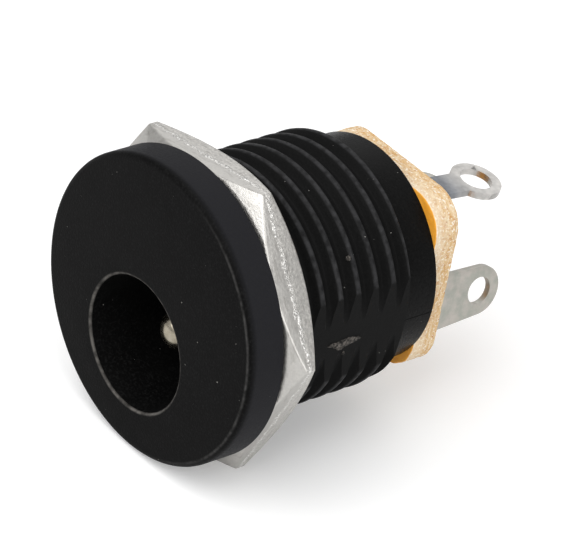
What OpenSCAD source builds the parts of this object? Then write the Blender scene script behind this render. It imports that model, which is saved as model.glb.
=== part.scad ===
// Panel-mount DC barrel jack: a moulded housing with a threaded barrel, its hex panel nut,
// a phenolic back plate, a riveted centre pin with its solder lug, a leaf spring that presses on
// the plug's sleeve, and the switch contact that this spring rests on while no plug is in.
// The barrel's axis is Y. The panel seats on the flange's rear face at y = 0, and the plug
// enters toward +Y. Turns are measured about the Y axis, from +Z toward +X.

/* [Flange] */
// Diameter of the front flange
flange_d = 14; // [13.6:0.1:18]
// Thickness of the flange
flange_t = 1.8; // [1.7:0.1:3]
// Rounding of the flange's front edge
flange_edge_r = 0.3; // [0.1:0.05:0.6]

/* [Threaded barrel] */
// Outer diameter of the moulded M12 thread
thread_d = 11.7; // [11.6:0.05:12.2]
// Distance from one thread crest to the next
thread_pitch = 1; // [0.95:0.01:1.03]
// Depth of the thread form
thread_depth = 0.4; // [0.38:0.01:0.45]
// Width of the flat on each crest, as a share of the pitch
crest_share = 0.24; // [0.15:0.01:0.28]
// Distance from the flange to the middle of the first crest
thread_start = 1.05; // [0.9:0.05:1.2]
// Number of thread crests
crest_n = 8; // [7:8]
// Distance across the two flats moulded along the thread
flats_w = 10.8; // [10.6:0.05:11.4]
// Diameter of the smooth collar behind the thread
collar_d = 10.4; // [10.2:0.05:10.45]
// Length of the barrel behind the flange, with its collar
barrel_l = 10.2; // [10.1:0.1:12]

/* [Plug bore] */
// Diameter of the bore that guides the plug's sleeve
bore_d = 5.6; // [5.55:0.05:5.8]
// Diameter of the entry in the front face
entry_d = 6.2; // [6:0.05:6.6]
// Length over which the entry tapers down to the bore
entry_l = 1.8; // [1:0.1:1.8]
// Break on the entry's front edge
entry_edge = 0.08; // [0.04:0.02:0.12]
// Thickness of the floor behind the bore
floor_t = 2; // [1.6:0.1:2.2]
// Distance of the bore's axis from the barrel's axis
bore_offset = 2.05; // [1.95:0.05:2.1]
// Turn of the bore's offset, past straight down
bore_turn = 12; // [5:1:18]

/* [Panel nut] */
// How much narrower the nut is across its flats than the flange
nut_under = 0.6; // [0.2:0.1:0.7]
// Thickness of the nut
nut_t = 1.9; // [1.7:0.1:3]
// Margin across the flats to the circle where the corner chamfers meet the nut's faces
nut_margin = 0.4; // [0.3:0.05:0.4]
// Angle of the corner chamfers to the nut's faces
nut_chamfer_a = 30; // [20:1:32]
// Turn of the nut on the thread, from one corner straight up
nut_turn = 23.5; // [0:0.5:60]
// Clearance between the nut's thread and the barrel's
nut_gap = 0.1; // [0.06:0.01:0.12]

/* [Back plate] */
// Width of the back plate
plate_w = 8.2; // [8:0.1:9]
// Height of the back plate
plate_h = 8.9; // [8.8:0.05:9.6]
// Thickness of the back plate
plate_t = 1.3; // [1:0.1:2]
// Radius of the back plate's corners
plate_corner_r = 1.7; // [1:0.1:2]
// Sideways shift of the back plate from the barrel's axis
plate_shift = 0.45; // [0.3:0.05:0.6]
// Rise of the back plate above the barrel's axis
plate_rise = 0.12; // [0.1:0.01:0.2]

/* [Centre pin] */
// Diameter of the centre pin
pin_d = 2.1; // [1.9:0.1:2.5]
// Depth of the pin's tip behind the front face
pin_tip_depth = 1.7; // [1.5:0.1:3]
// Length of the pin's domed tip
pin_dome_l = 0.7; // [0.4:0.1:0.9]
// Diameter of the pin's shoulder on the floor of the bore
shoulder_d = 3.2; // [2.8:0.1:3.6]
// Thickness of the shoulder
shoulder_t = 0.6; // [0.4:0.1:0.8]
// Diameter of the rivet shank behind the shoulder
rivet_d = 1.5; // [1.2:0.1:1.6]
// Diameter of the rivet's closed head
rivet_head_d = 2.5; // [2.1:0.1:2.6]
// Height of the rivet's closed head
rivet_head_h = 0.4; // [0.3:0.1:0.6]

/* [Contact strips] */
// Thickness of the contact strip
strip_t = 0.3; // [0.25:0.05:0.35]
// Clearance around a contact where it passes through the housing or the plate
slot_gap = 0.05; // [0.03:0.01:0.08]
// Turn of the two spring contacts
contact_turn = 5; // [2:1:8]
// Inside radius of the pin lug's bend
bend_r = 0.3; // [0.2:0.05:0.4]
// Length of the root that is held in the housing, in front of the back plate
root_l = 0.7; // [0.5:0.05:0.9]

/* [Pin lug] */
// Turn of the pin lug about the centre pin
pin_lug_turn = 80; // [75:1:90]
// Distance from the pin's axis to the outer face of the lug
pin_lug_reach = 4.4; // [4.1:0.1:4.5]
// Width of the lug at its bend
pin_lug_w = 2.65; // [2.6:0.05:3]
// Radius of the lug's round end
pin_lug_end_r = 1.18; // [1.05:0.01:1.3]
// Distance from the back plate to the lug's solder hole
pin_lug_l = 2.85; // [2.2:0.05:4]
// Diameter of the lug's solder hole
pin_lug_hole_d = 1.32; // [1:0.02:1.5]

/* [Leaf spring] */
// Height of the spring's upper face above the barrel's axis, where it leaves the housing
spring_h = 3.95; // [3.9:0.01:3.98]
// Sideways place of the spring's tail
tail_x = 1.6; // [1.5:0.05:1.65]
// Width of the tail's neck
tail_neck_w = 1.35; // [1.1:0.05:1.4]
// Radius of the ring at the tail's end
tail_ring_r = 1.2; // [1.1:0.05:1.25]
// Diameter of the ring's solder hole
tail_hole_d = 1.52; // [1.2:0.02:1.6]
// Distance from the back plate to the ring's solder hole
tail_l = 3.25; // [2.5:0.05:4]
// Droop of the tail behind the back plate
tail_droop = 6.5; // [2:0.5:10]
// Width of the spring's blade, centred over the bore
blade_w = 2; // [1.6:0.1:2.2]
// How far the spring's bump reaches into the bore
spring_reach = 0.9; // [0.6:0.05:1]
// Distance from the front face to the spring's bump
bump_depth = 5.2; // [5:0.1:5.3]
// Radius of the bump
bump_r = 0.8; // [0.5:0.1:1]
// Slope of the blade behind the bump
blade_slope = 36; // [35:0.5:40]
// Slope of the lead-in before the bump
lead_slope = 40; // [35:1:45]

/* [Switch contact] */
// Height of the contact's upper face above the barrel's axis
switch_h = 1.77; // [1.7:0.01:1.9]
// Sideways place of the contact
switch_x = -0.6; // [-0.65:0.05:-0.4]
// Width of the contact's blade
switch_w = 1.8; // [1.4:0.1:2]
// Radius of the lug's round end
switch_end_r = 1.15; // [1.05:0.05:1.2]
// Diameter of the lug's solder hole
switch_hole_d = 1.32; // [1:0.02:1.4]
// Distance from the back plate to the lug's solder hole
switch_l = 2.6; // [2:0.05:3.5]
// Gap left between the contact's edge and the spring that rests on it
rest_gap = 0.01; // [0.01:0.01:0.05]

/* [Hidden] */
$fn = 96;
// Overshoot of a cut past the face that it goes through
past = 0.5;
// Half of the angle between the flanks of the thread
flank_a = 30;
// Step of the rounded edges
arc_step = 15;

front_y = -flange_t;
thread_r = thread_d / 2;
root_r = thread_r - thread_depth;
collar_r = collar_d / 2;
last_crest_y = thread_start + (crest_n - 1) * thread_pitch;
bore_end = barrel_l - floor_t;
plate_y = barrel_l;
lug_y = plate_y + plate_t;
nut_af = flange_d - nut_under;
nut_corner_r = nut_af / 2 / cos(30);
nut_chamfer_r = (nut_af - nut_margin) / 2;

// The bore's axis, in the part's frame and in the frame of the two spring contacts
bore_x = -bore_offset * sin(bore_turn);
bore_z = -bore_offset * cos(bore_turn);
bore_s = -bore_offset * sin(bore_turn - contact_turn);
bore_n = -bore_offset * cos(bore_turn - contact_turn);

// The room that the spring works in, above the bore
side_gap = 0.4;
room_front = 0.6;
root_hold = 0.3;
room_left = min(bore_s - blade_w / 2, switch_x - switch_end_r) - side_gap;
room_right = tail_x + tail_neck_w / 2 + slot_gap;
room_top = spring_h + slot_gap;
room_bottom = bore_n + bore_d / 6;
passage_bottom = switch_h - strip_t - side_gap;

// The spring's underside: its lowest point and the ends of its bump
bump_y = front_y + bump_depth;
bump_n = bore_n + bore_d / 2 - spring_reach;
spring_n = spring_h - strip_t;
ramp_y = bump_y + bump_r * sin(blade_slope);
ramp_n = bump_n + bump_r * (1 - cos(blade_slope));
bend_y = ramp_y + (spring_n - ramp_n) / tan(blade_slope);
lead_y = bump_y - bump_r * sin(lead_slope);
lead_n = bump_n + bump_r * (1 - cos(lead_slope));
tip_n = bore_n + bore_d / 2 + strip_t;
tip_y = lead_y - (tip_n - lead_n) / tan(lead_slope);
// Where the switch contact's upper edge meets the spring's underside
rest_y = ramp_y + (switch_h + rest_gap - ramp_n) / tan(blade_slope);

// A solid of revolution about the Y axis, from a profile of [radius, y] points
module turned(profile) {
    rotate([-90, 0, 0])
        rotate_extrude()
            polygon(profile);
}

// A round bar along Y, from y0 to y1
module bar(d, y0, y1) {
    translate([0, y0, 0])
        rotate([-90, 0, 0])
            cylinder(d = d, h = y1 - y0);
}

// An outline drawn in X and Z, made solid from y0 to y1
module slab(y0, y1) {
    translate([0, y1, 0])
        rotate([90, 0, 0])
            linear_extrude(y1 - y0)
                children();
}

// A side profile drawn in Y and Z, made solid over a width centred on x
module across(w, x) {
    translate([x, 0, 0])
        rotate([90, 0, 90])
            linear_extrude(w, center = true)
                children();
}

// A horizontal outline drawn in X and Y, one strip thick, with its upper face at height z
module sheet(z) {
    translate([0, 0, z - strip_t])
        linear_extrude(strip_t)
            children();
}

// Moves the children to the bore's own axis
module at_bore() {
    translate([bore_x, 0, bore_z])
        children();
}

// Turns the children into the frame of the two spring contacts
module at_contacts() {
    rotate([0, contact_turn, 0])
        children();
}

// Corner points of thread crests first to last, each grown outward by a clearance
crest_half = thread_pitch * crest_share / 2;
flank_l = thread_depth * tan(flank_a);
function crests(first, last, grow) = [
    for (i = [first : last])
        let (y = thread_start + i * thread_pitch, g = grow * tan(flank_a))
            for (p = [[root_r + grow, y - crest_half - flank_l - g],
                      [thread_r + grow, y - crest_half - g],
                      [thread_r + grow, y + crest_half + g],
                      [root_r + grow, y + crest_half + flank_l + g]])
                p
];

module housing() {
    edge_r = flange_d / 2 - flange_edge_r;
    thread_end = last_crest_y + crest_half;
    run_out = thread_end + (thread_r - collar_r) * tan(flank_a);
    ridges = crests(0, crest_n - 1, 0);
    color("#1c1c1e")
    difference() {
        union() {
            turned(concat(
                [[0, front_y], [edge_r, front_y]],
                [for (a = [arc_step : arc_step : 90])
                    [edge_r + flange_edge_r * sin(a), front_y + flange_edge_r * (1 - cos(a))]],
                [[flange_d / 2, 0], [0, 0]]));
            intersection() {
                turned(concat([[0, -past], [root_r, -past]],
                              [for (i = [0 : len(ridges) - 2]) ridges[i]],
                              [[collar_r, run_out], [0, run_out]]));
                slab(-past, run_out)
                    square([flats_w, flange_d], center = true);
            }
            bar(collar_d, -past, barrel_l);
        }
        at_bore() {
            turned([[0, front_y - past], [entry_d / 2 + entry_edge + past, front_y - past],
                    [entry_d / 2, front_y + entry_edge], [bore_d / 2, front_y + entry_l],
                    [bore_d / 2, bore_end], [0, bore_end]]);
            bar(rivet_d + 2 * slot_gap, bore_end - past, barrel_l + past);
        }
        at_contacts() {
            slab(room_front, bore_end)
                translate([room_left, room_bottom])
                    square([room_right - room_left, room_top - room_bottom]);
            slab(bore_end - past, barrel_l + past)
                translate([room_left, passage_bottom])
                    square([room_right - room_left, room_top - passage_bottom]);
            slab(barrel_l - root_l - slot_gap, barrel_l + past) {
                root_slot(spring_h);
                root_slot(switch_h);
            }
        }
    }
}

// Grooves in both side walls of the room, which hold a contact's root at height z
module root_slot(z) {
    translate([room_left - root_hold - slot_gap, z - strip_t - slot_gap])
        square([room_right - room_left + 2 * root_hold + 2 * slot_gap, strip_t + 2 * slot_gap]);
}

// A contact's root: a cross bar from groove to groove
module root_bar() {
    translate([room_left - root_hold, barrel_l - root_l])
        square([room_right - room_left + 2 * root_hold, root_l]);
}

module panel_nut() {
    rim_r = nut_corner_r + past;
    rise = (rim_r - nut_chamfer_r) * tan(nut_chamfer_a);
    minor_r = root_r + nut_gap;
    sink = thread_depth;
    color("#c9c8c6")
    difference() {
        intersection() {
            rotate([-90, 0, 0])
                rotate([0, 0, nut_turn + 30])
                    cylinder(r = nut_corner_r, h = nut_t, $fn = 6);
            turned([[0, 0], [nut_chamfer_r, 0], [rim_r, rise], [rim_r, nut_t - rise],
                    [nut_chamfer_r, nut_t], [0, nut_t]]);
        }
        turned(concat([[0, -past], [minor_r, -past]], crests(0, 3, nut_gap),
                      [[0, thread_start + 4 * thread_pitch]]));
        turned([[0, -past], [thread_r + nut_gap + past, -past], [minor_r, sink], [0, sink]]);
        turned([[0, nut_t - sink], [minor_r, nut_t - sink],
                [thread_r + nut_gap + past, nut_t + past], [0, nut_t + past]]);
    }
}

module back_plate() {
    color("#dcb987")
    difference() {
        slab(plate_y, lug_y)
            translate([plate_shift, plate_rise])
                offset(r = plate_corner_r)
                    square([plate_w - 2 * plate_corner_r, plate_h - 2 * plate_corner_r],
                           center = true);
        at_bore()
            bar(rivet_d + 2 * slot_gap, plate_y - past, lug_y + past);
        at_contacts()
            slab(plate_y - past, lug_y + past) {
                lug_slot(tail_x, tail_ring_r, spring_h);
                lug_slot(switch_x, switch_end_r, switch_h);
            }
    }
}

// A slot that a lug of half-width r passes through, for a contact at height z
module lug_slot(x, r, z) {
    translate([x - r - slot_gap, z - strip_t - slot_gap])
        square([2 * r + 2 * slot_gap, strip_t + 2 * slot_gap]);
}

module centre_pin() {
    tip_y = front_y + pin_tip_depth;
    head_y = lug_y + strip_t;
    head_edge = 0.3;
    color("#c4c2bd")
    at_bore()
        turned(concat(
            [for (a = [0 : arc_step : 90])
                [pin_d / 2 * sin(a), tip_y + pin_dome_l * (1 - cos(a))]],
            [[pin_d / 2, bore_end - shoulder_t], [shoulder_d / 2, bore_end - shoulder_t],
             [shoulder_d / 2, bore_end], [rivet_d / 2, bore_end], [rivet_d / 2, head_y],
             [rivet_head_d / 2, head_y]],
            [for (a = [0 : arc_step : 90])
                [rivet_head_d / 2 * cos(a),
                 head_y + rivet_head_h * (head_edge + (1 - head_edge) * sin(a))]]));
}

// The lug is drawn with its upright part facing +X and is then turned about the pin
module pin_lug() {
    hole_y = lug_y + pin_lug_l;
    out_r = bend_r + strip_t;
    upright = pin_lug_reach - strip_t;
    color("#c3c4c2")
    at_bore()
    rotate([0, pin_lug_turn - 90, 0])
    difference() {
        intersection() {
            linear_extrude(pin_lug_w, center = true) {
                translate([-pin_lug_w / 2, lug_y])
                    square([pin_lug_w / 2 + pin_lug_reach - out_r, strip_t]);
                translate([upright, lug_y + out_r])
                    square([strip_t, pin_lug_l + pin_lug_end_r - out_r]);
                translate([pin_lug_reach - out_r, lug_y + out_r])
                    intersection() {
                        difference() {
                            circle(r = out_r);
                            circle(r = bend_r);
                        }
                        translate([0, -out_r])
                            square([out_r, out_r]);
                    }
            }
            union() {
                across(pin_lug_reach, pin_lug_reach / 2 + past)
                    lug_outline(lug_y, hole_y, pin_lug_w, pin_lug_end_r);
                slab(lug_y - past, lug_y + strip_t + past) {
                    circle(d = pin_lug_w);
                    translate([0, -pin_lug_w / 2])
                        square([pin_lug_reach / 2 + past, pin_lug_w]);
                }
            }
        }
        bar(rivet_d, lug_y - past, lug_y + strip_t + past);
        translate([upright - past, hole_y, 0])
            rotate([0, 90, 0])
                cylinder(d = pin_lug_hole_d, h = strip_t + 2 * past);
    }
}

// A strip that narrows from its root to a round end, drawn along the first axis
module lug_outline(root_y, end_y, root_w, end_r) {
    polygon([[root_y, -root_w / 2], [end_y, -end_r], [end_y, end_r], [root_y, root_w / 2]]);
    translate([end_y, 0])
        circle(r = end_r);
}

// The spring's blade runs from its root down to the bump in the bore and up again to its tip.
// Its tail passes out beside the blade, through the back plate, and droops to the solder ring.
module leaf_spring() {
    color("#b9bcc0")
    at_contacts() {
        across(blade_w, bore_s)
            strip(concat(
                [[tip_y, tip_n]],
                [for (a = [-lead_slope : arc_step / 2 : blade_slope])
                    [bump_y + bump_r * sin(a), bump_n + bump_r * (1 - cos(a))]],
                [[ramp_y, ramp_n], [bend_y, spring_n], [barrel_l, spring_n]]));
        sheet(spring_h)
            root_bar();
        across(tail_neck_w, tail_x)
            strip([[barrel_l - root_l, spring_n], [lug_y, spring_n],
                   [lug_y + (tail_l - tail_hole_d / 2) * cos(tail_droop),
                    spring_n - (tail_l - tail_hole_d / 2) * sin(tail_droop)]]);
        translate([tail_x, lug_y, spring_n])
            rotate([-tail_droop, 0, 0])
                translate([0, tail_l, 0])
                    difference() {
                        cylinder(r = tail_ring_r, h = strip_t);
                        translate([0, 0, -past])
                            cylinder(d = tail_hole_d, h = strip_t + 2 * past);
                    }
    }
}

// The switch contact's blade runs forward to the edge that the spring rests on
module switch_contact() {
    hole_y = lug_y + switch_l;
    color("#c2bfb6")
    at_contacts()
        sheet(switch_h)
            difference() {
                union() {
                    translate([switch_x - switch_w / 2, rest_y])
                        square([switch_w, barrel_l - rest_y]);
                    root_bar();
                    translate([switch_x - switch_end_r, barrel_l - root_l])
                        square([2 * switch_end_r, hole_y - barrel_l + root_l]);
                    translate([switch_x, hole_y])
                        circle(r = switch_end_r);
                }
                translate([switch_x, hole_y])
                    circle(d = switch_hole_d);
            }
}

// A bent strip in Y and Z, drawn from the points of its underside
module strip(pts) {
    polygon(concat(pts, [for (i = [len(pts) - 1 : -1 : 0]) pts[i] + strip_t * over(pts, i)]));
}
function unit(v) = v / norm(v);
function along(pts, i) = unit(pts[i + 1] - pts[i]);
function over(pts, i) =
    let (a = along(pts, max(i - 1, 0)), b = along(pts, min(i, len(pts) - 2)))
        [-a[1] - b[1], a[0] + b[0]] / (1 + a * b);

housing();
panel_nut();
back_plate();
centre_pin();
pin_lug();
leaf_spring();
switch_contact();
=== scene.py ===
"""Panel-mount DC barrel jack: moulded housing, nickel nut, phenolic plate and tinned contacts."""
import functools
import math

import bmesh
import bpy
from mathutils import Matrix, Vector, noise


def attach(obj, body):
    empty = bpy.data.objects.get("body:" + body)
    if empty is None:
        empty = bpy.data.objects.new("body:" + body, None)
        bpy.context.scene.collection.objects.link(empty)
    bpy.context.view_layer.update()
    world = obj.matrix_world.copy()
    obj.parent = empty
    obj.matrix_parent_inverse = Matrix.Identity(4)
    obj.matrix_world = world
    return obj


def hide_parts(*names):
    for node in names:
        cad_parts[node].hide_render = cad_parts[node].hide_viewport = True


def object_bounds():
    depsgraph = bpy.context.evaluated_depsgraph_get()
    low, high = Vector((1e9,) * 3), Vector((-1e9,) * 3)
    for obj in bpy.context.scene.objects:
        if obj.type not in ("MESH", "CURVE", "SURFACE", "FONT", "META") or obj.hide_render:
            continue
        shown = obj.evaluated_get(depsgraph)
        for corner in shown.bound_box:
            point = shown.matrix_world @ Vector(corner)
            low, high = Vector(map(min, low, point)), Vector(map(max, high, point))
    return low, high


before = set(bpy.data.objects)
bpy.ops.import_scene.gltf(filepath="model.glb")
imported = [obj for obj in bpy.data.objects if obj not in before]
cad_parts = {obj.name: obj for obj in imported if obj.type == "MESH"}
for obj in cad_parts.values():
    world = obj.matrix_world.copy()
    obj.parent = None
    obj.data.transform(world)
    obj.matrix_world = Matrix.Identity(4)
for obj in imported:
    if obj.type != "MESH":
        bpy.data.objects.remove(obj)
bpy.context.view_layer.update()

MM = 0.001
ORIGIN = (0, 0, 0)
X_AXIS, Y_AXIS, Z_AXIS = Vector((1, 0, 0)), Vector((0, 1, 0)), Vector((0, 0, 1))

# ---------------------------------------------------------------- sizes, in millimetres
# The barrel's axis is Y. The flange's rear face is at y = 0, and the plug enters toward +Y.
FLANGE_T, FLANGE_R, FLANGE_EDGE = 1.8, 7.0, 0.3
FRONT_Y = -FLANGE_T

# The moulded thread, with its root, its flanks and the collar that it fades into
THREAD_R, THREAD_DEPTH, PITCH, FIRST_CREST, CRESTS = 5.85, 0.4, 1.0, 1.05, 8
ROOT_R = THREAD_R - THREAD_DEPTH
FLANK, CREST_HALF = math.tan(math.radians(30)), 0.12
COLLAR_R, BARREL_L, FLAT_X = 5.2, 10.2, 5.4
RUN_OUT = FIRST_CREST + (CRESTS - 1) * PITCH + CREST_HALF + (THREAD_R - COLLAR_R) * FLANK

# The plug's bore, below the barrel's axis and a little to its left
BORE_R, ENTRY_R, ENTRY_L, ENTRY_EDGE, FLOOR_T = 2.8, 3.1, 1.8, 0.08, 2.0
BORE_END = BARREL_L - FLOOR_T
BORE_OFFSET, BORE_TURN = 2.05, math.radians(12)
BORE_X, BORE_Z = -BORE_OFFSET * math.sin(BORE_TURN), -BORE_OFFSET * math.cos(BORE_TURN)

# The nut is a little narrower across its flats than the flange
NUT_UNDER, NUT_MARGIN, NUT_T, NUT_TURN, NUT_GAP = 0.6, 0.4, 1.9, 23.5, 0.08
NUT_AF = 2 * FLANGE_R - NUT_UNDER
NUT_FACE_R = (NUT_AF - NUT_MARGIN) / 2

PLATE_W, PLATE_H, PLATE_T, PLATE_CORNER = 8.2, 8.9, 1.3, 1.7
PLATE_SHIFT, PLATE_RISE = 0.45, 0.12
LUG_Y = BARREL_L + PLATE_T

PIN_R, PIN_TIP, PIN_NOSE = 1.05, FRONT_Y + 1.7, 1.15
SHOULDER_R, SHOULDER_T, RIVET_R, RIVET_HOLE_R, RIVET_HEAD_R = 1.6, 0.6, 0.75, 0.8, 1.25

# The contacts share a frame that is turned about the barrel's axis. Each slot has the strip's
# sideways place, half of its own width, and its lower and upper face.
CONTACT_TURN, STRIP_T, STRIP_EDGE = 5.0, 0.3, 0.05
SPRING_SLOT = (1.6, 1.25, 3.6, 4.0)
SWITCH_SLOT = (-0.6, 1.2, 1.42, 1.82)
ROOM_LEFT, ROOM_RIGHT, ROOM_FRONT, ROOM_LOW, PASSAGE_LOW = -2.15, 2.325, 0.6, -1.1, 1.07
GROOVE_FRONT, GROOVE_REACH = BARREL_L - 0.75, 0.35

# How far a cutter stands past the face that it goes through
PAST = 0.5


# ---------------------------------------------------------------- camera
def aim_camera():
    """Looks at the jack from in front, on its right and above, a little turned about the view."""
    azimuth, elevation, roll = (math.radians(a) for a in (45.041, 32.502, 10.982))
    across, above, away = 5.737, 1.864, 179.517
    back = toward(azimuth, elevation)
    level_right = Vector((math.cos(azimuth), math.sin(azimuth), 0))
    level_up = back.cross(level_right)
    right = level_right * math.cos(roll) + level_up * math.sin(roll)
    up = back.cross(right)
    place = right * across + up * above + back * away + Vector((0, FRONT_Y, 0))
    data = bpy.data.cameras.new("studio_camera")
    data.sensor_width = 36
    data.lens = 268.88
    data.clip_start = 0.01
    camera = bpy.data.objects.new("studio_camera", data)
    bpy.context.scene.collection.objects.link(camera)
    turn = Matrix((right, up, back)).transposed().to_4x4()
    camera.matrix_world = Matrix.Translation(place * MM) @ turn
    bpy.context.scene.camera = camera


def toward(azimuth, elevation):
    """The direction from the jack to a viewer or a lamp, with no azimuth straight in front."""
    return Vector((math.sin(azimuth) * math.cos(elevation),
                   -math.cos(azimuth) * math.cos(elevation), math.sin(elevation)))


# ---------------------------------------------------------------- materials
def colour(hex_code):
    """An sRGB hex colour as the linear colour that a shader takes."""
    parts = [int(hex_code[i:i + 2], 16) / 255 for i in (1, 3, 5)]
    return tuple(c / 12.92 if c <= 0.04045 else ((c + 0.055) / 1.055) ** 2.4 for c in parts) + (1,)


def add_node(tree, kind, inputs=(), output=0, **settings):
    """Adds a shader node and returns one of its outputs. The inputs come in their order or by
    name, each as a value or as another node's output, which is linked."""
    made = tree.nodes.new("ShaderNode" + kind)
    for key, value in settings.items():
        setattr(made, key, value)
    for key, value in inputs.items() if isinstance(inputs, dict) else enumerate(inputs):
        if isinstance(value, bpy.types.NodeSocket):
            tree.links.new(value, made.inputs[key])
        else:
            made.inputs[key].default_value = value
    return made.outputs[output] if len(made.outputs) else None


def node_maker(owner):
    """Empties the node tree of a material or world, and returns add_node bound to it."""
    owner.use_nodes = True
    owner.node_tree.nodes.clear()
    return functools.partial(add_node, owner.node_tree)


def material(name):
    made = bpy.data.materials.new(name)
    return made, node_maker(made)


def finish(node, inputs):
    """Ends a material with its surface."""
    node("OutputMaterial", {"Surface": node("BsdfPrincipled", inputs)})


def millimetres(node, stretch=(1, 1, 1)):
    """Object coordinates in millimetres, so that a pattern's scale is a count per millimetre."""
    return node("Mapping", {"Vector": node("TexCoord", output="Object"),
                            "Scale": tuple(s / MM for s in stretch)})


def from_line(node, where, centre=ORIGIN):
    """Distance from a line along Y through the centre."""
    away = node("VectorMath", (where, centre), operation="SUBTRACT")
    flat = node("VectorMath", (away, (1, 0, 1)), operation="MULTIPLY")
    return node("VectorMath", (flat,), "Value", operation="LENGTH")


def band(node, value, middle, half):
    """One at the middle value, falling to nothing at half a width away."""
    off = node("Math", (value, middle), operation="SUBTRACT")
    return node("MapRange", (node("Math", (off,), operation="ABSOLUTE"), 0.0, half, 1.0, 0.0))


def product(node, *shares):
    total = shares[0]
    for share in shares[1:]:
        total = node("Math", (total, share), operation="MULTIPLY")
    return total


def painted(node, ground, *coats):
    """Lays coats of (share, colour) over a ground colour, the first one lowest."""
    paint = colour(ground)
    for share, coat in coats:
        paint = node("Mix", {0: share, 6: paint, 7: colour(coat)}, 2, data_type="RGBA")
    return paint


def moulded_abs():
    """Black ABS from an eroded mould: a fine even grain, nearly no gloss and a little pale dust.
    Painted highlights lie on the thread's crests, the flange's front edge and the bore's mouth, and a
    painted reflection lightens the flange's rim."""
    made, node = material("moulded_black_abs")
    where = millimetres(node)
    side_x, depth = node("SeparateXYZ", (where,), "X"), node("SeparateXYZ", (where,), "Y")
    radius = from_line(node, where)
    # the mould's grain is about 0.05 mm, and is drawn twice as coarse so that it shows
    grain = node("TexNoise", {"Vector": where, "Scale": 9.0, "Detail": 3.0, "Roughness": 0.6})
    cloud = node("TexNoise", {"Vector": where, "Scale": 0.5})
    speckle = node("MapRange", (grain, 0.5, 0.75, 0.0, 0.5))

    behind = node("Math", (depth, 0.0), operation="GREATER_THAN")
    front = node("Math", (depth, FRONT_Y + 0.1), operation="LESS_THAN")
    outer = node("MapRange", (radius, COLLAR_R - 0.3, COLLAR_R + 0.1))
    on_barrel = product(node, behind, outer)
    # the flange's rim is painted lighter and cooler than the front face: a painted reflection of the
    # white surround
    rim_reflection = product(node, node("MapRange", (depth, FRONT_Y + 0.1, FRONT_Y + 0.4)),
                     node("Math", (radius, THREAD_R + 0.05), operation="GREATER_THAN"))

    # painted highlights, broken into patches, lie along the thread's crests, the flange's front edge
    # on its right side and the bore's mouth
    highlight_breakup = node("TexNoise", {"Vector": where, "Scale": 3.0, "Detail": 3.0})
    patchy = node("MapRange", (highlight_breakup, 0.35, 0.65, 0.25, 1.0))
    crest_highlight = product(node, behind, node("MapRange", (radius, THREAD_R - 0.06, THREAD_R)), patchy)
    # a painted highlight along the flange's rounded front edge, on its right side only
    front_edge_highlight = product(node, front, band(node, radius, FLANGE_R - 0.22, 0.09),
                         node("MapRange", (side_x, 1.5, 5.5)), patchy)
    # a painted highlight in a thin ring round the bore's mouth
    to_bore = from_line(node, where, (BORE_X, 0, BORE_Z))
    mouth = product(node, front, band(node, to_bore, ENTRY_R + 0.05, 0.09), patchy)

    # dust lies in loose groups of specks, the largest about 0.08 mm across
    specks = node("TexVoronoi", {"Vector": where, "Scale": 2.6, "Randomness": 1.0})
    groups = node("TexNoise", {"Vector": where, "Scale": 0.8, "Detail": 1.0})
    size = node("MapRange", (groups, 0.53, 0.74, 0.0, 0.1))
    dust = node("Math", (specks, size), operation="LESS_THAN")

    # the collar comes from a smoother part of the mould
    dull = node("MapRange", (grain, 0.3, 0.7, 0.42, 0.6))
    on_collar = node("MapRange", (depth, RUN_OUT - 0.15, RUN_OUT + 0.15, 0.0, 0.26))
    smooth = product(node, on_barrel, on_collar)
    # the grain scatters nearly all of the gloss, so little of ABS's own reflection is left
    finish(node, {
        "Base Color": painted(node, "#060606", (cloud, "#0c0c0c"), (speckle, "#242424"),
                              (product(node, rim_reflection, 0.7), "#28282b"),
                              (product(node, on_barrel, 0.6), "#171717"),
                              (product(node, crest_highlight, 0.35), "#5a5a5c"),
                              (product(node, front_edge_highlight, 0.55), "#545352"),
                              (product(node, mouth, 0.75), "#706d69"),
                              (product(node, dust, 0.7), "#a3a19c")),
        "Roughness": node("Math", (dull, smooth), operation="SUBTRACT"),
        "IOR": 1.5, "Specular IOR Level": 0.04,
        "Normal": node("Bump", {"Height": grain, "Distance": 0.014 * MM})})
    return made


def torn_abs():
    """Torn ABS where the runner was twisted off: rough, and paler than the moulded skin."""
    made, node = material("torn_abs_at_the_gate")
    # tears of about 0.12 mm
    torn = node("TexNoise", {"Vector": millimetres(node), "Scale": 8.0, "Detail": 4.0,
                             "Roughness": 0.7})
    finish(node, {
        "Base Color": painted(node, "#131211", (node("MapRange", (torn, 0.42, 0.62)), "#645f5a")),
        "Roughness": 0.7, "IOR": 1.5, "Specular IOR Level": 0.2,
        "Normal": node("Bump", {"Height": torn, "Distance": 0.05 * MM})})
    return made


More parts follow.
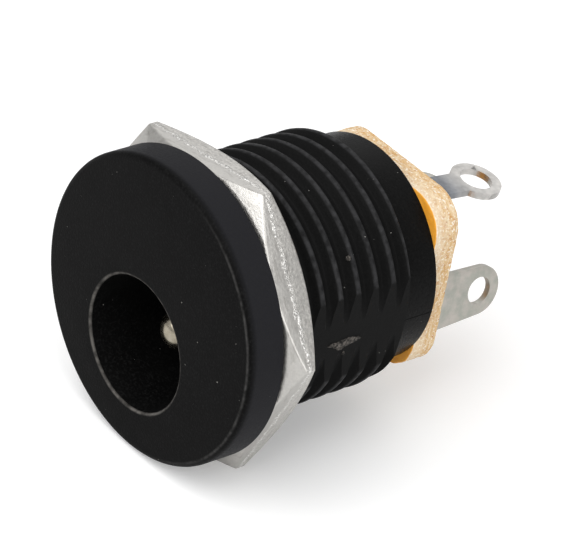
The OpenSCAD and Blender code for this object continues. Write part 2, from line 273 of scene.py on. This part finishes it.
def nickel_plate():
    """Satin nickel over a tumbled hex nut: warm grey and finely stippled. Each flat has a broken
    bright witness line near its middle, with a smoother face in front of it than behind it."""
    made, node = material("satin_nickel_plate")
    where = millimetres(node)
    depth = node("SeparateXYZ", (where,), "Y")
    # tumbling leaves dents of about 0.12 mm, and the bar's drawing leaves streaks round the nut
    stipple = node("TexNoise", {"Vector": where, "Scale": 8.0, "Detail": 3.0, "Roughness": 0.7})
    streaks = node("TexNoise", {"Vector": millimetres(node, (1.5, 7, 1.5)), "Scale": 1.0,
                                "Detail": 3.0, "Roughness": 0.6})
    coarse = node("MapRange", (depth, NUT_T / 2 - 0.1, NUT_T / 2 + 0.05, 0.35, 1.0))
    dented = node("MapRange", (stipple, 0.3, 0.7))

    # the witness line wanders by 0.14 mm, and is broken into flecks of about 0.1 mm
    outside = node("Math", (from_line(node, where), NUT_FACE_R - 0.1), operation="GREATER_THAN")
    drift = node("TexNoise", {"Vector": where, "Scale": 1.6, "Detail": 5.0, "Roughness": 0.7})
    wander = node("Math", (depth, node("MapRange", (drift, 0.3, 0.7, -0.14, 0.14))),
                  operation="ADD")
    flecks = node("MapRange", (node("TexNoise", {"Vector": where, "Scale": 10.0}), 0.46, 0.56))
    witness = product(node, outside, band(node, wander, NUT_T / 2 + 0.02, 0.13), flecks)

    height = node("Math", (product(node, stipple, coarse), product(node, streaks, 0.5)),
                  operation="ADD")
    height = node("Math", (height, product(node, witness, 2.0)), operation="ADD")
    finish(node, {
        "Base Color": painted(node, "#b5b3af", (product(node, dented, coarse), "#dedbd6"),
                              (node("MapRange", (streaks, 0.55, 0.68, 0.0, 0.6)), "#9f9c97"),
                              (product(node, witness, 0.8), "#fbfaf7")),
        "Metallic": 1.0, "Roughness": node("MapRange", (stipple, 0.3, 0.7, 0.28, 0.42)),
        "Normal": node("Bump", {"Height": height, "Distance": 0.024 * MM})})
    return made


def phenolic_paper():
    """Punched phenolic paper: glossy amber faces, and a pale granular edge of torn paper fibres, with
    a painted highlight that makes the edge whitest beside the front face."""
    made, node = material("phenolic_paper_laminate")
    where = millimetres(node)
    # grains of 0.15 mm, flecks of 0.1 mm, and fibres that lie along the sheet
    grit = node("TexNoise", {"Vector": where, "Scale": 6.5, "Detail": 4.0, "Roughness": 0.75})
    fibres = node("TexNoise", {"Vector": millimetres(node, (1.0, 2.6, 0.6)), "Scale": 2.2,
                               "Detail": 3.0, "Roughness": 0.6})
    flecks = node("TexNoise", {"Vector": where, "Scale": 9.0, "Detail": 1.0})
    depth = node("SeparateXYZ", (where,), "Y")
    # the edge's last coat is a painted highlight, whitest beside the plate's front face
    edge = painted(node, "#d6aa6c", (node("MapRange", (fibres, 0.35, 0.65)), "#ead3ae"),
                   (node("MapRange", (grit, 0.53, 0.66, 0.0, 0.85)), "#c07e3f"),
                   (node("MapRange", (flecks, 0.56, 0.68, 0.0, 0.85)), "#fbf4e6"),
                   (node("MapRange", (depth, BARREL_L, BARREL_L + 0.9, 0.55, 0.0)), "#f5e8d2"))
    amber = painted(node, "#ffa92e",
                    (node("TexNoise", {"Vector": where, "Scale": 1.5}), "#ffb94a"))
    side = node("SeparateXYZ", (node("TexCoord", output="Normal"),), "Y")
    face = node("Math", (node("Math", (side,), operation="ABSOLUTE"), 0.7),
                operation="GREATER_THAN")
    finish(node, {
        "Base Color": node("Mix", {0: face, 6: edge, 7: amber}, 2, data_type="RGBA"),
        "Roughness": node("MapRange", (face, 0.0, 1.0, 0.8, 0.35)),
        "Normal": node("Bump", {"Height": grit, "Distance": 0.06 * MM})})
    return made


def tinned_strip():
    """Tin-plated brass strip: warm grey, softly mottled, with a dull satin gloss."""
    made, node = material("tinned_brass_strip")
    where = millimetres(node)
    # the tin runs in patches of half a millimetre, over the strip's rolled grain of 0.08 mm
    mottle = node("TexNoise", {"Vector": where, "Scale": 2.0, "Detail": 3.0})
    fine = node("TexNoise", {"Vector": where, "Scale": 12.0})
    finish(node, {
        "Base Color": painted(node, "#a9aaa2", (node("MapRange", (mottle, 0.35, 0.65)), "#bdb8b1")),
        "Metallic": 1.0, "Roughness": node("MapRange", (fine, 0.3, 0.7, 0.36, 0.5)),
        "Normal": node("Bump", {"Height": fine, "Distance": 0.008 * MM})})
    return made


def spring_plate():
    """Nickel-plated spring strip: blue-grey beside the plate, brighter toward the solder ring."""
    made, node = material("nickel_plated_spring_strip")
    where = millimetres(node)
    # the strip is rolled along its length, so its grain is drawn out along Y
    grain = node("TexNoise", {"Vector": millimetres(node, (5, 0.6, 1)), "Scale": 2.0,
                              "Detail": 3.0})
    patches = node("MapRange", (node("TexNoise", {"Vector": where, "Scale": 1.6, "Detail": 3.0}),
                                0.35, 0.65))
    bright = painted(node, "#b4b2af", (patches, "#d2cfcb"))
    blue = painted(node, "#444a54", (patches, "#6a7079"))
    # blue-grey beside the plate, changing to the bright colour between 1.3 and 2.6 mm behind it
    toward_plate = node("MapRange", (node("SeparateXYZ", (where,), "Y"), LUG_Y + 1.3, LUG_Y + 2.6, 0.85, 0.0))
    finish(node, {
        "Base Color": node("Mix", {0: toward_plate, 6: bright, 7: blue}, 2, data_type="RGBA"),
        "Metallic": 1.0, "Roughness": node("MapRange", (grain, 0.3, 0.7, 0.28, 0.4)),
        "Normal": node("Bump", {"Height": grain, "Distance": 0.012 * MM})})
    return made


def turned_nickel():
    """Bright nickel on a turned brass pin: a soft mirror, warm, with faint tool rings."""
    made, node = material("bright_nickel_turned_pin")
    # the tool's feed leaves rings of about 0.08 mm round the pin
    rings = node("TexNoise", {"Vector": millimetres(node, (0.4, 6, 0.4)), "Scale": 2.0})
    blotch = node("TexNoise", {"Vector": millimetres(node), "Scale": 4.0})
    finish(node, {
        "Base Color": painted(node, "#857d6c", (blotch, "#b9b2a2")), "Metallic": 1.0,
        "Roughness": node("MapRange", (rings, 0.3, 0.7, 0.16, 0.28)),
        "Normal": node("Bump", {"Height": rings, "Distance": 0.006 * MM})})
    return made


# ---------------------------------------------------------------- making pieces
def piece_from(bm, name):
    """Turns millimetres into metres and closes the bmesh as an object at the origin."""
    bmesh.ops.scale(bm, vec=(MM, MM, MM), verts=bm.verts)
    mesh = bpy.data.meshes.new(name)
    bm.to_mesh(mesh)
    bm.free()
    piece = bpy.data.objects.new(name, mesh)
    bpy.context.scene.collection.objects.link(piece)
    return piece


def bmesh_of(mesh):
    """A finished mesh, opened again in millimetres."""
    bm = bmesh.new()
    bm.from_mesh(mesh)
    bmesh.ops.scale(bm, vec=(1 / MM, 1 / MM, 1 / MM), verts=bm.verts)
    return bm


def smooth_by_angle(mesh, degrees):
    """Rounded surfaces shade smooth, and edges sharper than the angle stay crisp."""
    bm = bmesh.new()
    bm.from_mesh(mesh)
    for face in bm.faces:
        face.smooth = True
    limit = math.radians(degrees)
    for edge in bm.edges:
        edge.smooth = len(edge.link_faces) == 2 and edge.calc_face_angle(0) < limit
    bm.to_mesh(mesh)
    bm.free()


def settle(piece):
    """Applies the piece's modifiers to its mesh."""
    graph = bpy.context.evaluated_depsgraph_get()
    graph.update()
    mesh = bpy.data.meshes.new_from_object(piece.evaluated_get(graph))
    piece.modifiers.clear()
    old = piece.data
    piece.data = mesh
    mesh.name = piece.name
    bpy.data.meshes.remove(old)


def cut(piece, cutters, operation="DIFFERENCE"):
    """Takes each closed cutter out of the piece, or keeps what lies inside it."""
    for cutter in cutters:
        modifier = piece.modifiers.new("cut", "BOOLEAN")
        modifier.operation = operation
        modifier.solver = "EXACT"
        modifier.object = cutter
    settle(piece)
    for cutter in cutters:
        bpy.data.objects.remove(cutter)


def lathe(name, profile, steps, centre=ORIGIN):
    """Spins a closed profile of (radius, y) once round a line along Y through the centre."""
    bm = bmesh.new()
    ring = [bm.verts.new((0, y, r)) for r, y in profile]
    edges = [bm.edges.new(pair) for pair in zip(ring, ring[1:])]
    bmesh.ops.spin(bm, geom=ring + edges, cent=ORIGIN, axis=Y_AXIS,
                   angle=2 * math.pi, steps=steps, use_merge=True)
    bmesh.ops.remove_doubles(bm, verts=bm.verts, dist=1e-5)
    bmesh.ops.recalc_face_normals(bm, faces=bm.faces)
    bmesh.ops.translate(bm, verts=bm.verts, vec=centre)
    return piece_from(bm, name)


def cube(bm, low, high):
    made = bmesh.ops.create_cube(bm, size=1.0)["verts"]
    bmesh.ops.scale(bm, vec=Vector(high) - Vector(low), verts=made)
    bmesh.ops.translate(bm, vec=(Vector(low) + Vector(high)) / 2, verts=made)


def turn_about_axis(bm, degrees):
    """Turns everything about the barrel's axis, from +Z toward +X."""
    bmesh.ops.rotate(bm, verts=bm.verts, cent=ORIGIN,
                     matrix=Matrix.Rotation(math.radians(degrees), 3, "Y"))


def contact_cutter(name, low, high):
    """A box in the contacts' own frame."""
    bm = bmesh.new()
    cube(bm, low, high)
    turn_about_axis(bm, CONTACT_TURN)
    return piece_from(bm, name)


def round_over(bm, edges, width, segments, clamp=False):
    bmesh.ops.bevel(bm, geom=edges, offset=width, segments=segments, profile=0.5, affect="EDGES",
                    clamp_overlap=clamp, material=-1)


def corners_over(bm, degrees):
    """The closed edges where the surface turns by more than an angle."""
    limit = math.radians(degrees)
    return [e for e in bm.edges if len(e.link_faces) == 2 and e.calc_face_angle(0) > limit]


def slice_at(bm, point, normal, **clear):
    bmesh.ops.bisect_plane(bm, geom=bm.verts[:] + bm.edges[:] + bm.faces[:], dist=1e-5,
                           plane_co=point, plane_no=normal, **clear)


def grow_loop(bm, edges, radius, y):
    """Extrudes an open round edge to a new radius and place along the axis."""
    made = bmesh.ops.extrude_edge_only(bm, edges=edges)["geom"]
    for vert in (g for g in made if isinstance(g, bmesh.types.BMVert)):
        scale = radius / math.hypot(vert.co.x, vert.co.z)
        vert.co = Vector((vert.co.x * scale, y, vert.co.z * scale))
    return [g for g in made if isinstance(g, bmesh.types.BMEdge) and g.is_boundary]


def open_rim(bm, y):
    return [e for e in bm.edges if e.is_boundary and all(abs(v.co.y - y) < 1e-4 for v in e.verts)]


# ---------------------------------------------------------------- housing
# Height of the rounded thread form across one pitch, from a root to the next
THREAD_FORM = ((-0.5, 0), (-0.41, 0), (-0.37, 0.035), (-0.33, 0.12), (-0.24, 0.5), (-0.17, 0.8),
               (-0.135, 0.905), (-0.09, 0.97), (-0.03, 1), (0.03, 1), (0.09, 0.97),
               (0.135, 0.905), (0.17, 0.8), (0.24, 0.5), (0.33, 0.12), (0.37, 0.035), (0.41, 0))


def helix(bm, grow, low, high):
    """An open right-hand thread round the Y axis, grown by a clearance and cut square."""
    steps = 160
    profile = []
    for crest in range(-2, CRESTS + 1):
        middle = FIRST_CREST + (crest - 0.5) * PITCH
        for share, height in THREAD_FORM:
            radius = ROOT_R + (THREAD_R - ROOT_R) * height + grow
            profile.append(bm.verts.new((0, middle + share * PITCH, -radius)))
    edges = [bm.edges.new(pair) for pair in zip(profile, profile[1:])]
    bmesh.ops.spin(bm, geom=profile + edges, cent=ORIGIN, axis=Y_AXIS, angle=2 * math.pi,
                   dvec=(0, PITCH / steps, 0), steps=steps, use_merge=False)
    bmesh.ops.remove_doubles(bm, verts=bm.verts, dist=1e-3)
    slice_at(bm, (0, low, 0), Y_AXIS, clear_inner=True)
    slice_at(bm, (0, high, 0), Y_AXIS, clear_outer=True)


def moulded_housing():
    """The housing with its real right-hand thread, in place of the plain rings of the CAD."""
    bm = bmesh.new()
    helix(bm, 0, 0, RUN_OUT)
    fade_thread(bm)
    # the two flats moulded along the thread
    for side in (-FLAT_X, FLAT_X):
        slice_at(bm, (side, 0, 0), X_AXIS)
    for vert in bm.verts:
        vert.co.x = max(-FLAT_X, min(FLAT_X, vert.co.x))
    # flange, round from its rear face to its front face
    rim = grow_loop(bm, open_rim(bm, 0), FLANGE_R, 0)
    for turn in range(6, -1, -1):
        angle = math.radians(15 * turn)
        rim = grow_loop(bm, rim, FLANGE_R - FLANGE_EDGE * (1 - math.sin(angle)),
                        FLANGE_EDGE * (1 - math.cos(angle)) - FLANGE_T)
    bmesh.ops.contextual_create(bm, geom=rim)
    # collar, to the rear face
    rim = grow_loop(bm, open_rim(bm, RUN_OUT), COLLAR_R, BARREL_L)
    bmesh.ops.contextual_create(bm, geom=rim)
    bmesh.ops.recalc_face_normals(bm, faces=bm.faces)
    housing = piece_from(bm, "moulded_housing")
    cut(housing, [bore_cutter(), *room_cutters()])
    smooth_by_angle(housing.data, 32)
    return housing


def fade_thread(bm):
    """Lets the thread rise out of the root behind the flange and run out into the collar."""
    root_end = 0.3
    for ring in range(1, 10):
        slice_at(bm, (0, RUN_OUT - 0.05 * ring, 0), Y_AXIS)
    for vert in bm.verts:
        radius = math.hypot(vert.co.x, vert.co.z)
        limit = min(ROOT_R + max(0, vert.co.y - root_end) / FLANK,
                    COLLAR_R + (RUN_OUT - vert.co.y) / FLANK)
        if radius > limit:
            vert.co.x *= limit / radius
            vert.co.z *= limit / radius


def bore_cutter():
    """The plug's bore with its tapered entry, and the hole for the rivet behind it."""
    return lathe("bore_cutter", [
        (0, FRONT_Y - PAST), (ENTRY_R + ENTRY_EDGE + PAST, FRONT_Y - PAST),
        (ENTRY_R, FRONT_Y + ENTRY_EDGE), (BORE_R, FRONT_Y + ENTRY_L), (BORE_R, BORE_END),
        (RIVET_HOLE_R, BORE_END), (RIVET_HOLE_R, BARREL_L + PAST), (0, BARREL_L + PAST)],
        128, (BORE_X, 0, BORE_Z))


def room_cutters():
    """The spring's room, its rear passage and the grooves for the contacts' roots."""
    spring_low, top = SPRING_SLOT[2:]
    switch_low, switch_top = SWITCH_SLOT[2:]
    rear = BARREL_L + PAST
    left, right = ROOM_LEFT - GROOVE_REACH, ROOM_RIGHT + GROOVE_REACH
    boxes = (((ROOM_LEFT, ROOM_FRONT, ROOM_LOW), (ROOM_RIGHT, BORE_END, top)),
             ((ROOM_LEFT, BORE_END - PAST, PASSAGE_LOW), (ROOM_RIGHT, rear, top)),
             ((left, GROOVE_FRONT, spring_low), (right, rear, top)),
             ((left, GROOVE_FRONT, switch_low), (right, rear, switch_top)))
    return [contact_cutter("room_cutter", low, high) for low, high in boxes]


def gate_scar():
    """The torn gate on the barrel's flat, and a nick on a thread crest."""
    bm = bmesh.new()
    scar_t, nick_r, nick_y, nick_turn = 0.05, 0.11, 4.98, math.radians(52)
    for y, z, long, high in ((4.95, -0.3, 0.62, 0.2), (5.5, -0.26, 0.34, 0.14),
                             (4.35, -0.2, 0.34, 0.1), (4.75, -0.5, 0.2, 0.1),
                             (5.0, -0.85, 0.09, 0.08)):
        blob = bmesh.ops.create_icosphere(bm, subdivisions=4, radius=1.0)["verts"]
        for vert in blob:
            torn = 1 + 0.5 * noise.noise(Vector((y, z, 0)) * 7 + vert.co * 2.6)
            vert.co = Vector((FLAT_X + scar_t * vert.co.x * torn, y + long * vert.co.y * torn,
                              z + high * vert.co.z * torn))
    nick = bmesh.ops.create_icosphere(bm, subdivisions=4, radius=1.0)["verts"]
    middle = Vector((THREAD_R * math.sin(nick_turn), nick_y, THREAD_R * math.cos(nick_turn)))
    for vert in nick:
        torn = 1 + 0.5 * noise.noise(vert.co * 2.4)
        vert.co = middle + vert.co * nick_r * torn
    scar = piece_from(bm, "gate_scar")
    smooth_by_angle(scar.data, 180)
    return scar


def parting_line():
    """The fine ridge that the mould's joint leaves along the collar."""
    half, height, start, turn = 0.02, 0.018, 7.75, 94
    bm = bmesh.new()
    cube(bm, (-half, start, COLLAR_R - 0.1), (half, BARREL_L, COLLAR_R + height))
    round_over(bm, bm.edges[:], 0.012, 2)
    turn_about_axis(bm, turn)
    return piece_from(bm, "parting_line")


# ---------------------------------------------------------------- nut, plate, pin and contacts
def hex_nut():
    """A hexagon with turned corner chamfers, tapped, countersunk, and softened at its edges."""
    bm = bmesh.new()
    corner_r = NUT_AF / math.sqrt(3)
    bmesh.ops.create_cone(bm, cap_ends=True, segments=6, radius1=corner_r, radius2=corner_r,
                          depth=NUT_T)
    # create_cone sets a corner on +Y, which is then +Z, and the nut is turned on its thread
    bmesh.ops.rotate(bm, verts=bm.verts, cent=ORIGIN, matrix=Matrix.Rotation(math.pi / 2, 3, "X"))
    turn_about_axis(bm, NUT_TURN)
    bmesh.ops.translate(bm, verts=bm.verts, vec=(0, NUT_T / 2, 0))
    nut = piece_from(bm, "hex_nut")
    cut(nut, [nut_turning()], "INTERSECT")
    cut(nut, [nut_tap(), nut_countersinks()])

    bm = bmesh_of(nut.data)
    bmesh.ops.remove_doubles(bm, verts=bm.verts, dist=1e-3)
    edges = [e for e in corners_over(bm, 16)
             if min(math.hypot(v.co.x, v.co.z) for v in e.verts) > NUT_FACE_R + 0.05]
    round_over(bm, edges, 0.08, 3, clamp=True)
    bmesh.ops.scale(bm, vec=(MM, MM, MM), verts=bm.verts)
    bm.to_mesh(nut.data)
    bm.free()
    smooth_by_angle(nut.data, 24)
    return nut


def nut_turning():
    """The double cone that the lathe leaves of the corners."""
    outer = 8.0
    rise = (outer - NUT_FACE_R) * math.tan(math.radians(30))
    return lathe("nut_turning", [
        (0, 0), (NUT_FACE_R, 0), (outer, rise), (outer, NUT_T - rise), (NUT_FACE_R, NUT_T),
        (0, NUT_T)], 144)


def nut_tap():
    """The barrel's own helix with the thread's clearance, closed at both ends."""
    bm = bmesh.new()
    ends = (-0.3, NUT_T + 0.3)
    helix(bm, NUT_GAP, *ends)
    for y in ends:
        bmesh.ops.contextual_create(bm, geom=open_rim(bm, y))
    bmesh.ops.recalc_face_normals(bm, faces=bm.faces)
    return piece_from(bm, "nut_tap")


def nut_countersinks():
    mouth, sink = THREAD_R + 0.1, 0.45
    return lathe("nut_countersinks", [
        (0, -PAST), (mouth + PAST, -PAST), (mouth - sink, sink), (mouth - sink, NUT_T - sink),
        (mouth + PAST, NUT_T + PAST), (0, NUT_T + PAST)], 144)


def punched_plate():
    """The back plate, with the slightly ragged edge that punching leaves on paper laminate."""
    bm = bmesh.new()
    cube(bm, (-PLATE_W / 2, 0, -PLATE_H / 2), (PLATE_W / 2, PLATE_T, PLATE_H / 2))
    corners = [e for e in bm.edges if abs(e.verts[0].co.y - e.verts[1].co.y) > 1]
    round_over(bm, corners, PLATE_CORNER, 24)
    rims = [e for e in bm.edges if abs(e.verts[0].co.y - e.verts[1].co.y) < 1e-6
            and len(e.link_faces) == 2 and e.calc_face_angle(0) > 1]
    round_over(bm, rims, 0.05, 2)
    tear_edge(bm)
    bmesh.ops.translate(bm, verts=bm.verts, vec=(PLATE_SHIFT, BARREL_L, PLATE_RISE))
    plate = piece_from(bm, "punched_plate")
    cutters = [contact_cutter("lug_slot", (middle - half, BARREL_L - PAST, low),
                              (middle + half, LUG_Y + PAST, high))
               for middle, half, low, high in (SPRING_SLOT, SWITCH_SLOT)]
    cutters.append(lathe("rivet_hole", [
        (0, BARREL_L - PAST), (RIVET_HOLE_R, BARREL_L - PAST), (RIVET_HOLE_R, LUG_Y + PAST),
        (0, LUG_Y + PAST)], 48, (BORE_X, 0, BORE_Z)))
    cut(plate, cutters)
    smooth_by_angle(plate.data, 50)
    return plate


def tear_edge(bm):
    """Slices the plate finely, and roughens what lies within a hair of its outline."""
    step, skin, tear = 0.14, 0.06, 0.028
    for axis, size in ((X_AXIS, PLATE_W), (Z_AXIS, PLATE_H)):
        count = int(size / 2 / step)
        for line in range(-count, count + 1):
            slice_at(bm, axis * (line * step), axis)
    for line in range(1, int(PLATE_T / step) + 1):
        slice_at(bm, (0, line * step - 0.05, 0), Y_AXIS)
    for vert in bm.verts:
        past_x, past_z = abs(vert.co.x) - PLATE_W / 2, abs(vert.co.z) - PLATE_H / 2
        corner = math.hypot(max(0, past_x + PLATE_CORNER),
                            max(0, past_z + PLATE_CORNER)) - PLATE_CORNER
        if max(past_x, past_z, corner) > -skin:
            out = Vector((vert.co.x, 0, vert.co.z)).normalized()
            torn = noise.noise(vert.co * 3.1) + 0.6 * noise.noise(vert.co * 8.3)
            vert.co += out * tear * torn


def rounded_pin():
    """The centre pin with a full nose, its shoulder and its closed rivet head."""
    quarter = math.pi / 2
    shoulder_y, edge = BORE_END - SHOULDER_T, 0.03
    head_y, head_side, head_dome = LUG_Y + STRIP_T, 0.12, 0.28
    nose = [(PIN_R * math.sin(quarter * i / 16), PIN_TIP + PIN_NOSE * (1 - math.cos(quarter * i / 16)))
            for i in range(17)]
    body = [(PIN_R, shoulder_y - 0.05), (PIN_R + 0.05, shoulder_y), (SHOULDER_R - edge, shoulder_y),
            (SHOULDER_R, shoulder_y + edge), (SHOULDER_R, BORE_END), (RIVET_R, BORE_END),
            (RIVET_R, head_y), (RIVET_HEAD_R, head_y)]
    head = [(RIVET_HEAD_R * math.cos(quarter * i / 8),
             head_y + head_side + head_dome * math.sin(quarter * i / 8)) for i in range(9)]
    pin = lathe("rounded_pin", nose + body + head, 72, (BORE_X, 0, BORE_Z))
    smooth_by_angle(pin.data, 35)
    return pin


def softened(node):
    """A merged copy of a CAD contact, with its punched edges rounded over."""
    bm = bmesh_of(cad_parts[node].data)
    bmesh.ops.remove_doubles(bm, verts=bm.verts, dist=1e-4)
    bmesh.ops.dissolve_limit(bm, angle_limit=math.radians(1), verts=bm.verts, edges=bm.edges)
    round_over(bm, corners_over(bm, 40), STRIP_EDGE, 3, clamp=True)
    bmesh.ops.recalc_face_normals(bm, faces=bm.faces)
    piece = piece_from(bm, "soft_" + node)
    smooth_by_angle(piece.data, 40)
    return piece


# ---------------------------------------------------------------- studio
def white_floor():
    """A pale floor that keeps a soft shadow. It glows a little for the camera so that it is white,
    and less for reflections so that the black plastic stays dark."""
    bm = bmesh.new()
    bmesh.ops.create_grid(bm, x_segments=1, y_segments=1, size=2.0)
    bmesh.ops.translate(bm, verts=bm.verts, vec=(0, 0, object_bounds()[0].z))
    mesh = bpy.data.meshes.new("studio_floor")
    bm.to_mesh(mesh)
    bm.free()
    floor = bpy.data.objects.new("studio_floor", mesh)
    bpy.context.scene.collection.objects.link(floor)
    made, node = material("white_paper_sweep")
    seen = node("Math", (node("LightPath", output="Is Camera Ray"),
                         product(node, node("LightPath", output="Is Glossy Ray"), 0.25)),
                operation="ADD")
    lift = node("Emission", {"Color": colour("#ffffff"), "Strength": 0.2})
    paper = node("BsdfDiffuse", {"Color": colour("#f4f4f4")})
    lit = node("AddShader", (paper, node("MixShader", {0: seen, 2: lift})))
    node("OutputMaterial", {"Surface": lit})
    mesh.materials.append(made)


def white_surround():
    """White behind the jack, and in reflections brighter overhead than at the horizon."""
    world = bpy.data.worlds.new("white_surround")
    bpy.context.scene.world = world
    node = node_maker(world)
    camera, glossy = (node("LightPath", output=f"Is {ray} Ray") for ray in ("Camera", "Glossy"))
    upward = node("SeparateXYZ", (node("TexCoord", output="Generated"),), "Z")
    reflected = node("MapRange", (upward, 0.0, 0.7, 0.42, 0.85))
    shown = node("MapRange", (camera, 0, 1, reflected, 1.0))
    seen = node("Math", (camera, glossy), operation="MAXIMUM")
    strength = node("MapRange", (seen, 0, 1, 0.5, shown))
    sky = node("Background", {"Color": colour("#ffffff"), "Strength": strength})
    node("OutputWorld", {"Surface": sky})


def soft_lamps():
    """Three large soft lamps. Each has its direction in degrees, and its distance and size in
    metres, and the last number is its power in watts."""
    middle = Vector((0, 4, 0)) * MM
    for name, azimuth, elevation, away, size, power in (
            ("key_softbox", 5, 50, 0.18, 0.2, 0.32),
            ("side_softbox", 85, 25, 0.2, 0.14, 0.10),
            ("rear_softbox", -135, 38, 0.2, 0.16, 0.04)):
        back = toward(math.radians(azimuth), math.radians(elevation))
        data = bpy.data.lights.new(name, "AREA")
        data.energy = power
        data.size = size
        lamp = bpy.data.objects.new(name, data)
        bpy.context.scene.collection.objects.link(lamp)
        lamp.location = middle + back * away
        lamp.rotation_euler = back.to_track_quat("Z", "Y").to_euler()


# ---------------------------------------------------------------- the jack
def dress(piece, surface):
    piece.data.materials.clear()
    piece.data.materials.append(surface)
    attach(piece, "root")


def build():
    """Makes each piece in the place of its CAD node, and adds the mould's marks."""
    black, tin = moulded_abs(), tinned_strip()
    for name, piece, surface, slot in (
            ("housing", moulded_housing(), black, "housing_plastic"),
            ("panel_nut", hex_nut(), nickel_plate(), "nut_nickel"),
            ("back_plate", punched_plate(), phenolic_paper(), "phenolic"),
            ("centre_pin", rounded_pin(), turned_nickel(), "pin_nickel"),
            ("pin_lug", softened("pin_lug"), tin, "lug_tin"),
            ("leaf_spring", softened("leaf_spring"), spring_plate(), "spring_nickel"),
            ("switch_contact", softened("switch_contact"), tin, "lug_tin")):
        dress(piece, surface)
        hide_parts(name)
    dress(gate_scar(), torn_abs())
    dress(parting_line(), black)


bpy.context.scene.view_settings.view_transform = "Standard"
aim_camera()
build()
white_floor()
white_surround()
soft_lamps()
